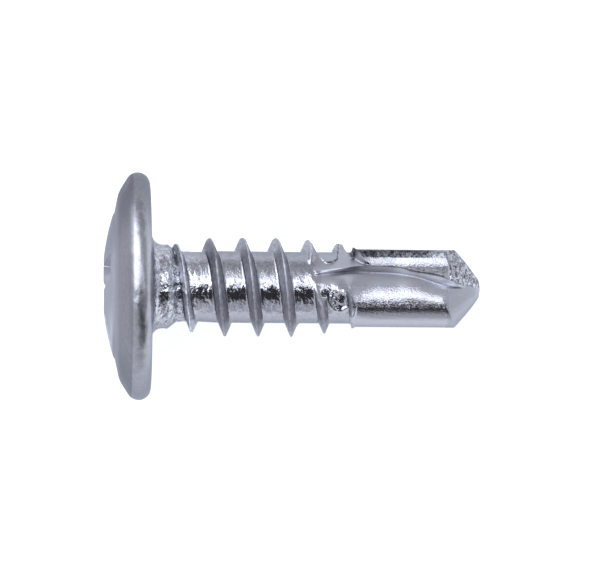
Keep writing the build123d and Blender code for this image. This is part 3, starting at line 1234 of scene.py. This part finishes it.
@dataclass
class Spot:
    """Where a place of the surface is, and which of the screw's forms it belongs to, as numbers for the finish.

    The lines give the land's edge as a direction within the half, and the foot of the flute's wall as a place across,
    for a few places along the axis.
    """

    bench: Bench
    lie: Lie
    edge_line: Line = ((6.6, 1.10), (7.2, 1.05), (8.05, 0.92), (9.22, 0.645), (10.11, 0.645), (11.0, 0.833),
                       (12.05, 1.023), (12.6, 1.19), (13.1, 1.37), (13.6, 1.53))
    deep_line: Line = ((7.23, 0.59), (7.9, 0.68), (8.4, 0.72), (9.24, 0.70), (10.14, 0.67), (11.04, 0.55),
                       (12.1, 0.24), (12.65, 0.12), (13.2, 0.01), (13.73, -0.10))
    edge_half: float = 0.02
    drill_from: Span = (8.2, 8.5)
    flute_from: Span = (6.95, 7.15)
    flute_back: Span = (1.40, 1.52)
    ramp_reach: Band = ((6.75, 6.85), (9.15, 9.3))
    ramp_front: Span = (0.30, 0.45)
    ramp_back: Span = (7.85, 7.95)
    ramp_slant: float = 2.1
    ridge_r: Span = (1.56, 1.70)
    ridge_reach: Band = ((1.7, 2.1), (8.3, 8.4))
    crown: float = 2.12
    dome_r: float = 10.0
    recess_r: Span = (2.8, 2.9)
    recess_end: Span = (0.3, 0.4)
    neck_from: Span = (-0.6, -0.5)
    neck_r: Span = (1.5, 1.6)
    waver: Noise = Noise(2.2, 2.0, 0.6)

    u: Strand = field(init=False)
    v: Strand = field(init=False)
    s: Strand = field(init=False)
    radius: Strand = field(init=False)
    inner: Strand = field(init=False)
    local: bpy.types.NodeSocket = field(init=False)
    wobble: Strand = field(init=False)
    deep: Strand = field(init=False)
    drill: Strand = field(init=False)
    ridge: Strand = field(init=False)
    in_flute: Strand = field(init=False)
    on_ramp: Strand = field(init=False)
    depth: Strand = field(init=False)
    by_recess: Strand = field(init=False)

    def __post_init__(self) -> None:
        """Work out the place and the masks from the object's own coordinates."""
        bench = self.bench
        place = bench.node("ShaderNodeTexCoord").outputs["Object"]
        self.u, self.v, self.s = (self.reach(place, way) for way in (self.lie.side, self.lie.up, self.lie.along))
        self.radius = (self.u * self.u + self.v * self.v).call("SQRT")
        self.inner = half_direction(self.u, self.v)
        self.local = bench.vector(self.u, self.v, self.s)
        self.wobble = bench.noise(self.local, self.waver) - 0.5
        self.deep = bench.curve(self.s, self.deep_line)
        self.drill = self.s.eased(*self.drill_from)
        self.ridge = self.radius.eased(*self.ridge_r) * self.s.band(*self.ridge_reach)

        edge = bench.curve(self.s, self.edge_line)
        past_edge = self.inner.eased(edge - self.edge_half, edge + self.edge_half)
        before_back = 1 - (self.inner + self.wobble * 0.1).eased(*self.flute_back)
        self.in_flute = self.s.eased(*self.flute_from) * past_edge * before_back
        before_lobe = 1 - (self.s - self.inner * self.ramp_slant).eased(*self.ramp_back)
        self.on_ramp = (self.s.band(*self.ramp_reach) * (1 - past_edge) * self.inner.eased(*self.ramp_front)
                        * before_lobe)

        self.depth = self.s + self.crown - self.radius * self.radius / (2 * self.dome_r)
        outside_neck = 1 - self.s.eased(*self.neck_from) * self.radius.eased(*self.neck_r)
        self.by_recess = (1 - self.radius.eased(*self.recess_r)) * (1 - self.s.eased(*self.recess_end)) * outside_neck

    def reach(self, place: bpy.types.NodeSocket, way: Vector) -> Strand:
        """How far a place lies from the screw's origin along one direction, in millimetres."""
        made = self.bench.node("ShaderNodeVectorMath", {"operation": "DOT_PRODUCT"}, {0: place, 1: way / MM})
        return self.bench.strand(made, "Value") - self.lie.origin.dot(way) / MM


@dataclass(frozen=True)
class ZincPlate:
    """Bright zinc plating that is shiny where the dies rolled it and satin where it was cut or upset, with painted
    shade, painted light and a painted highlight laid into its colour in places.
    """

    colour: Colour = (0.492, 0.498, 0.536)
    edge_tint: Colour = (0.57, 0.58, 0.62)
    root: Patch = Patch(0.90, 0.14, 1.2, 4.8, 0.6)
    upper: Patch = Patch(0.82, 0.15, 2.0, 1.6, 1.2)
    neck: Patch = Patch(1.04, 0.13, 1.5, 7.0, 2.6)
    flank: Patch = Patch(0.75, 0.58, 3.0, 5.0, 1.9)
    land: Patch = Patch(1.08, 0.08, 2.6, 0.5, 0.3)
    flute: Patch = Patch(0.82, 0.36, 0.5, 0.3, 0.15)
    # Painted light: the flute's wall painted lighter than the plating.
    painted_light_wall: Patch = Patch(1.80, 0.38, 0.5, 0.3, 0.15)
    # Painted dark reflection: a dark, mottled band along the upper land.
    upper_land_painted_dark_band: Patch = Patch(0.22, 0.20, 4.0, 5.0, 6.5)
    # Speckles, and painted shade deepening the dark reflection band on the lower lobe.
    lower_lobe_speckle_and_painted_shade: Patch = Patch(0.70, 0.20, 5.0, 2.0, 4.5)
    # Painted shade: the upper land greyer below its white reflection.
    upper_land_painted_shade: Patch = Patch(0.50, 0.30, 3.0, 1.0, 2.2)
    # Painted light: the thread's first ridge painted lighter than the plating.
    start: Patch = Patch(1.70, 0.42, 3.0, 7.0, 2.4)
    facet: Patch = Patch(0.94, 0.34, 0.3, 0.1, 0.15)
    cone: Patch = Patch(1.0, 0.36, 0.8, 0.5, 0.3)
    flash: Patch = Patch(0.88, 0.18, 3.0, 8.0, 6.0)
    dome: Patch = Patch(0.76, 0.38, 1.0, 0.6, 0.5)
    flange: Patch = Patch(0.52, 0.38, 1.0, 0.6, 0.6)
    rim: Patch = Patch(0.76, 0.30, 2.0, 2.0, 0.8)
    # Painted light: the recess's walls painted lighter than the plating; shade() paints its deep parts darker.
    recess: Patch = Patch(1.22, 0.65, 0.2, 0.2, 0.3)
    under: Patch = Patch(0.9, 0.38, 0.3, 0.2, 0.2)
    bump: float = 1e-5
    fine: Noise = Noise(15.0, 2.0, 0.7)
    spots: Noise = Noise(6.0, 2.0, 0.7)
    coarse: Noise = Noise(3.2, 2.0, 0.5)
    broad: Noise = Noise(1.4, 1.0, 0.5)
    broad_height: float = 5.0
    stretch: float = 1.7
    rough_stain: float = 0.08
    rough_limits: Span = (0.05, 0.8)
    # Strengths of the painted shade and painted light that shade() lays into the colour.
    plus_u_head_painted_shade: float = 0.30
    plus_u_painted_shade: float = 0.25
    minus_u_painted_shade: float = 0.20
    recess_painted_shade: float = 0.55
    thread_edge_painted_light: float = 0.5

    def build(self, lie: Lie) -> bpy.types.Material:
        """Make the material.

        Args:
            lie: how the screw lies, for its own directions.

        Returns:
            The material.
        """
        material = bpy.data.materials.new("zinc_plate")
        bench = cleared(material)
        spot = Spot(bench, lie)
        tone, roughness, grain, mottle, stain = self.blended(spot)
        fine = bench.noise(spot.local, self.fine) - 0.5
        stains = (bench.noise(spot.local, self.spots) - 0.5) * 0.7 + fine * 0.75
        height = self.height(spot, fine, grain, mottle)
        bump = bench.node("ShaderNodeBump", None, {"Strength": 1.0, "Distance": self.bump, "Height": height})
        shade = self.shade(spot, stains, tone, stain)
        colour = bench.node("ShaderNodeVectorMath", {"operation": "SCALE"}, {0: self.colour, "Scale": shade})
        rough = (roughness + stains * self.rough_stain).held(*self.rough_limits)
        shader = bench.node("ShaderNodeBsdfPrincipled", None, {
            "Base Color": colour.outputs[0], "Metallic": 1.0, "Roughness": rough, "Normal": bump.outputs[0],
            "Specular Tint": (*self.edge_tint, 1.0)})
        bench.node("ShaderNodeOutputMaterial", None, {"Surface": shader.outputs[0]})
        return material

    def zones(self, spot: Spot) -> list[tuple[Patch, Strand]]:
        """The patches that lie over the root, each with the mask of where it shows.

        Args:
            spot: the place of the surface.

        Returns:
            The patches and masks, from the lowest to the topmost.
        """
        u, s, radius, inner, wobble = spot.u, spot.s, spot.radius, spot.inner, spot.wobble
        front = spot.v.eased(0.0, 0.1)
        off_flute = 1 - spot.in_flute
        return [
            (self.land, spot.drill),
            # Painted dark reflection along the upper land.
            (self.upper_land_painted_dark_band, spot.drill * (u + wobble * 0.06).eased(1.28, 1.34)
             * (1 - (s + wobble * 2).eased(11.3, 11.9) * 0.7) * front),
            # Speckles and painted shade on the lower lobe's dark band.
            (self.lower_lobe_speckle_and_painted_shade, spot.drill * (u + wobble * 0.05).eased(-0.86, -0.80) * (1 - u.eased(-0.66, -0.58)) * front),
            # Painted shade on the upper land below its white reflection.
            (self.upper_land_painted_shade, spot.drill * u.eased(0.2, 0.3) * (1 - (u + wobble * 0.06).eased(0.90, 0.96)) * front),
            (self.facet, spot.on_ramp),
            (self.flute, spot.in_flute),
            # Painted light on the flute's wall.
            (self.painted_light_wall, spot.in_flute * u.eased(spot.deep - 0.03, spot.deep + 0.03)),
            (self.cone, s.eased(12.45, 12.55) * off_flute),
            (self.flash, (s + wobble * 0.3).eased(12.5, 12.6) * off_flute * (1 - inner.eased(1.2, 1.4))),
            (self.upper, s.band((1.9, 2.1), (6.4, 6.8)) * (u + wobble * 0.1).eased(0.25, 0.40)),
            (self.flank, spot.ridge),
            (self.neck, 1 - s.eased(1.5, 2.0)),
            # Painted light on the thread's first ridge.
            (self.start, radius.eased(1.56, 1.68) * s.band((0.7, 0.9), (1.8, 2.2))),
            (self.under, 1 - s.eased(0.0, 0.1)),
            (self.rim, radius.eased(4.40, 4.80)),
            (self.flange, (1 - s.eased(-0.88, -0.80)) * radius.eased(2.8, 3.0)),
            (self.dome, (1 - s.eased(-1.3, -1.2)) * (1 - radius.eased(3.0, 4.0))),
            # Painted light on the recess's walls.
            (self.recess, spot.depth.eased(0.03, 0.06) * spot.by_recess),
        ]

    def blended(self, spot: Spot) -> list[Strand]:
        """The finish at a place: the patches laid over each other.

        Args:
            spot: the place of the surface.

        Returns:
            The tone, roughness, grain, mottle and stain there.
        """
        zones = self.zones(spot)
        looks = []
        for look in fields(Patch):
            value = getattr(self.root, look.name)
            for patch, mask in zones:
                value = mask * (getattr(patch, look.name) - value) + value
            looks.append(value)
        return looks

    def height(self, spot: Spot, fine: Strand, grain: Strand, mottle: Strand) -> Strand:
        """The fine relief of the plating.

        Args:
            spot: the place of the surface.
            fine: even noise about 0 at the scale of the grain.
            grain: how much of it shows.
            mottle: how much of a coarser noise shows.

        Returns:
            The height, in steps of the bump's distance.
        """
        bench = spot.bench
        coarse = bench.noise(bench.vector(spot.u, spot.v, spot.s * self.stretch), self.coarse) - 0.5
        on_rim = (1 - spot.s.eased(-0.2, 0.2)) * spot.radius.eased(3.5, 4.5)
        broad = (bench.noise(spot.local, self.broad) - 0.5) * on_rim
        return fine * grain * 0.5 + coarse * mottle + broad * self.broad_height

    def shade(self, spot: Spot, stains: Strand, tone: Strand, stain: Strand) -> Strand:
        """The plating's brightness, with painted shade and painted light laid into it: darker towards +u, more so on
        the head, darker towards -u and deep in the recess, lighter on the thread's flanks where they turn towards +u
        and -u, and a painted highlight along the foot of the flute's wall.

        Args:
            spot: the place of the surface.
            stains: uneven noise about 0.
            tone: the patches' brightness.
            stain: how much of the noise shows.

        Returns:
            The share of the plating's colour.
        """
        across = spot.u / spot.radius.most(0.1)
        # Painted shade: the recess darkens with depth.
        recess_painted_shade = spot.depth.eased(0.2, 0.9) * spot.by_recess
        # Painted shade: the head darker towards +u.
        shade = tone * (1 + stains * stain).most(0.15) * (1 - spot.u.eased(1.8, 4.6) * self.plus_u_head_painted_shade)
        # Painted shade: every part darker towards +u, and the recess darker the deeper it goes.
        shade = shade * (1 - across.eased(0.3, 0.75) * self.plus_u_painted_shade) * (1 - recess_painted_shade * self.recess_painted_shade)
        # Painted light: the thread's flanks lighter where they turn towards +u and -u.
        shade = shade * (1 + spot.ridge * abs(across).eased(0.7, 0.95) * self.thread_edge_painted_light)
        # Painted shade: every part darker towards -u.
        shade = shade * (1 - (-across).eased(0.5, 0.9) * self.minus_u_painted_shade)
        # Painted highlight: a bright line along the foot of the flute's wall.
        flute_painted_highlight = (spot.u - spot.deep).tent(-0.05, 0.03) * spot.in_flute * (0.8 + stains * 3)
        return shade * (1 + flute_painted_highlight.most(0.0))


# ---------------------------------------------------------------------------------------------------------------
# The screw
# ---------------------------------------------------------------------------------------------------------------


@dataclass
class Screw:
    """The whole screw as one mesh, with a crease at each edge that is sharper than so many degrees."""

    lie: Lie
    head: Head = field(default_factory=Head)
    recess: Recess = field(default_factory=Recess)
    shank: Shank = field(default_factory=Shank)
    crease: float = 38.0

    def build(self) -> bpy.types.Object:
        """Build, join, place and dress the screw.

        Returns:
            The finished piece, which rides on the body and stands for the solid.
        """
        finish = ZincPlate().build(self.lie)
        head, cutter, shank = self.head.build(), self.recess.build(), self.shank.build(finish)
        self.cut(head, cutter)
        LOG.info("head: %d faces, shank: %d faces", len(head.data.polygons), len(shank.data.polygons))
        mesh = plain_mesh("screw_body", self.joined(head.data, shank.data))
        mesh.transform(self.lie.matrix())
        mesh.materials.clear()
        mesh.materials.append(finish)
        for spare in (head, shank, cutter):
            bpy.data.objects.remove(spare)
        made = new_object("screw_body", mesh)
        LOG.info("screw: %d triangles", sum(len(face.vertices) - 2 for face in mesh.polygons))
        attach(made, "root")
        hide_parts("screw")
        return made

    def joined(self, head: bpy.types.Mesh, shank: bpy.types.Mesh) -> bmesh.types.BMesh:
        """Join the head and the shank at the neck, and crease the sharp edges.

        Args:
            head: the head's mesh, closed at the neck by one face.
            shank: the shank's mesh, open at the neck.

        Returns:
            The closed screw, in triangles.
        """
        grid = bmesh.new()
        grid.from_mesh(head)
        plug = [face for face in grid.faces if all(abs(vert.co.z - self.head.join_s) < 1e-4 for vert in face.verts)]
        bmesh.ops.delete(grid, geom=plug, context="FACES_ONLY")
        grid.from_mesh(shank)
        bmesh.ops.remove_doubles(grid, verts=grid.verts, dist=WELD)
        bmesh.ops.dissolve_degenerate(grid, edges=grid.edges, dist=WELD / 2)
        bmesh.ops.recalc_face_normals(grid, faces=grid.faces)
        bmesh.ops.triangulate(grid, faces=grid.faces, quad_method="SHORT_EDGE")
        LOG.info("open or doubled edges: %d", sum(not edge.is_manifold for edge in grid.edges))
        limit = math.radians(self.crease)
        for edge in grid.edges:
            edge.smooth = len(edge.link_faces) != 2 or edge.calc_face_angle(0.0) < limit
        for face in grid.faces:
            face.smooth = True
        return grid

    @staticmethod
    def cut(body: bpy.types.Object, cutter: bpy.types.Object) -> None:
        """Cut one mesh out of another, for good.

        Args:
            body: the object that is cut.
            cutter: the object whose shape is taken out of it.
        """
        modifier = body.modifiers.new("cut", "BOOLEAN")
        modifier.operation = "DIFFERENCE"
        modifier.solver = "EXACT"
        modifier.object = cutter
        apply_modifier(body, modifier)


# ---------------------------------------------------------------------------------------------------------------
# Studio
# ---------------------------------------------------------------------------------------------------------------


@dataclass(frozen=True)
class Floor:
    """A pale floor under the screw, whose size is in metres."""

    half: float = 0.6
    albedo: float = 0.25
    roughness: float = 0.8

    def build(self) -> bpy.types.Object:
        """Lay the floor.

        Returns:
            The floor.
        """
        half = self.half
        mesh = bpy.data.meshes.new("floor")
        mesh.from_pydata([(-half, -half, 0), (half, -half, 0), (half, half, 0), (-half, half, 0)], [], [(0, 1, 2, 3)])
        made = new_object("floor", mesh)
        material = bpy.data.materials.new("pale_floor")
        bench = cleared(material)
        shader = bench.node("ShaderNodeBsdfPrincipled", None, {
            "Base Color": (self.albedo, self.albedo, self.albedo, 1.0), "Roughness": self.roughness})
        bench.node("ShaderNodeOutputMaterial", None, {"Surface": shader.outputs[0]})
        mesh.materials.append(material)
        return made


@dataclass(frozen=True)
class Sky:
    """A plain grey studio all round, with one soft white band over the screw and a dark one beside it.

    The bands run along the screw. Their edges are angles about it in degrees, from 0 straight above it towards its
    own side: low is the edge between white and dark, top the white band's far edge and foot the dark band's. Each
    shifts with how far a direction points ahead, towards the tip, and closes off at the screw's two ends.
    """

    white: float = 2.5
    white_behind: float = 0.4
    dark: float = 0.05
    rest: float = 0.62
    rest_behind: float = 0.25
    low: float = 10.0
    low_ahead: float = 25.0
    low_behind: float = 50.0
    behind_most: float = -0.35
    top: float = 39.0
    top_slant: float = 60.0
    top_behind: float = 35.0
    top_notch: float = 10.0
    foot: float = -46.0
    foot_slant: float = 30.0
    foot_notch: float = 12.0
    notch: Band = ((0.03, 0.05), (0.09, 0.11))
    soft: float = 3.0
    foot_soft: float = 4.0
    ahead_end: Span = (0.6, 0.9)
    behind_end: Span = (0.75, 0.95)

    def build(self, lie: Lie, tint: Colour) -> bpy.types.World:
        """Make the studio the scene's world.

        Args:
            lie: how the screw lies, for its own directions.
            tint: colour of the light.

        Returns:
            The world.
        """
        world = bpy.data.worlds.new("studio")
        bpy.context.scene.world = world
        bench = cleared(world)
        way = bench.node("ShaderNodeTexCoord").outputs["Generated"]
        side, up, ahead = (self.along(bench, way, axis) for axis in (lie.side, lie.up, lie.along))
        angle = side.call("ARCTAN2", up) * (180 / math.pi)
        behind = (-ahead).most(0.0)
        notch = ahead.band(*self.notch)
        low = self.low - ahead.most(0.0) * self.low_ahead + ahead.held(self.behind_most, 0.0) * self.low_behind
        top = self.top - ahead * self.top_slant + behind * self.top_behind - notch * self.top_notch
        foot = self.foot - ahead * self.foot_slant - notch * self.foot_notch
        past_low = angle.eased(low - self.soft, low + self.soft)
        white = past_low * (1 - angle.eased(top - self.soft, top + self.soft))
        dark = angle.eased(foot - self.foot_soft, foot + self.foot_soft) * (1 - past_low)
        white_level = self.white * (1 + (-ahead).eased(0.0, 0.3) * self.white_behind)
        rest = self.rest + (1 - ahead.eased(-0.05, 0.05)) * self.rest_behind
        within = 1 - ahead.eased(*self.ahead_end) - (-ahead).eased(*self.behind_end)
        level = rest + dark * (self.dark - rest) + white * (white_level - rest)
        level = rest + (level - rest) * within
        light = bench.node("ShaderNodeBackground", None, {"Color": (*tint, 1.0), "Strength": level})
        bench.node("ShaderNodeOutputWorld", None, {"Surface": light.outputs[0]})
        return world

    @staticmethod
    def along(bench: Bench, way: bpy.types.NodeSocket, axis: Vector) -> Strand:
        """How far a direction of the world points along an axis, from -1 to 1."""
        made = bench.node("ShaderNodeVectorMath", {"operation": "DOT_PRODUCT"}, {0: way, 1: axis})
        return bench.strand(made, "Value")


@dataclass(frozen=True)
class Lamp:
    """A soft lamp over the floor that the metal doesn't mirror.

    It hangs some millimetres ahead of the bearing face, and its height and size are in metres.
    """

    ahead: float = 4.0
    height: float = 0.6
    size: float = 0.05
    energy: float = 14.6

    def build(self, lie: Lie, tint: Colour) -> bpy.types.Object:
        """Hang the lamp over the screw.

        Args:
            lie: how the screw lies.
            tint: colour of the light.

        Returns:
            The lamp.
        """
        light = bpy.data.lights.new("lamp", "AREA")
        light.shape = "DISK"
        light.size = self.size
        light.energy = self.energy
        light.color = tint
        light.use_shadow = False
        lamp = new_object("lamp", light)
        middle = lie.origin + lie.along * (self.ahead * MM)
        turn = Matrix((lie.along, lie.side, lie.up)).transposed().to_4x4()
        lamp.matrix_world = Matrix.Translation(middle + lie.up * self.height) @ turn
        lamp.visible_glossy = False
        return lamp


@dataclass(frozen=True)
class Camera:
    """A lens above the screw, a little on the head's side of it, with the screw's tip to the right.

    The frame and the bearing face's middle in it are in pixels, the scale in pixels a millimetre, and the distance
    and the foot, which is how far along the axis the lens stands, in millimetres. The clip distances are in metres.
    """

    frame: tuple[int, int] = (590, 570)
    middle: tuple[float, float] = (152.6, 286.3)
    scale: float = 23.45
    distance: float = 100.0
    foot: float = -2.43
    lean: float = math.radians(0.5)
    sensor: float = 36.0
    clip: Span = (0.005, 5.0)

    def build(self, lie: Lie) -> bpy.types.Object:
        """Place the lens and make it the scene's camera.

        Args:
            lie: how the screw lies.

        Returns:
            The camera.
        """
        lens = bpy.data.cameras.new("camera")
        holder = new_object("camera", lens)
        bpy.context.scene.camera = holder
        width, height = self.frame
        pixel = MM / self.scale
        right = lie.along * math.cos(self.lean) + lie.side * math.sin(self.lean)
        top = lie.side * math.cos(self.lean) - lie.along * math.sin(self.lean)
        to_aim = (width / 2 - self.middle[0]) * pixel
        aim = lie.origin + right * to_aim - top * ((height / 2 - self.middle[1]) * pixel)
        spot = aim - right * (to_aim - self.foot * MM) + lie.up * (self.distance * MM)
        back = (spot - aim).normalized()
        across = top.cross(back).normalized()
        turn = Matrix((across, back.cross(across), back)).transposed().to_4x4()
        holder.matrix_world = Matrix.Translation(spot) @ turn
        lens.sensor_fit = "HORIZONTAL"
        lens.sensor_width = self.sensor
        lens.lens = self.sensor * (spot - aim).length / (width * pixel * abs(across.dot(right)))
        lens.clip_start, lens.clip_end = self.clip
        return holder


@dataclass
class Studio:
    """Floor, lights and camera."""

    lie: Lie
    tint: Colour = (0.945, 0.977, 1.07)
    floor: Floor = Floor()
    sky: Sky = Sky()
    lamp: Lamp = Lamp()
    camera: Camera = Camera()

    def build(self) -> None:
        """Set up the floor, the lights and the camera."""
        bpy.context.scene.view_settings.view_transform = "Standard"
        self.floor.build()
        self.sky.build(self.lie, self.tint)
        self.lamp.build(self.lie, self.tint)
        self.camera.build(self.lie)
        LOG.info("studio: floor, sky, lamp and camera")


def main() -> None:
    """Build the screw and its studio around the solid."""
    logging.basicConfig(level=logging.INFO, format="%(name)s: %(message)s")
    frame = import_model()
    lie = Lie(frame["record"])
    Screw(lie).build()
    Studio(lie).build()


if __name__ == "__main__":
    main()
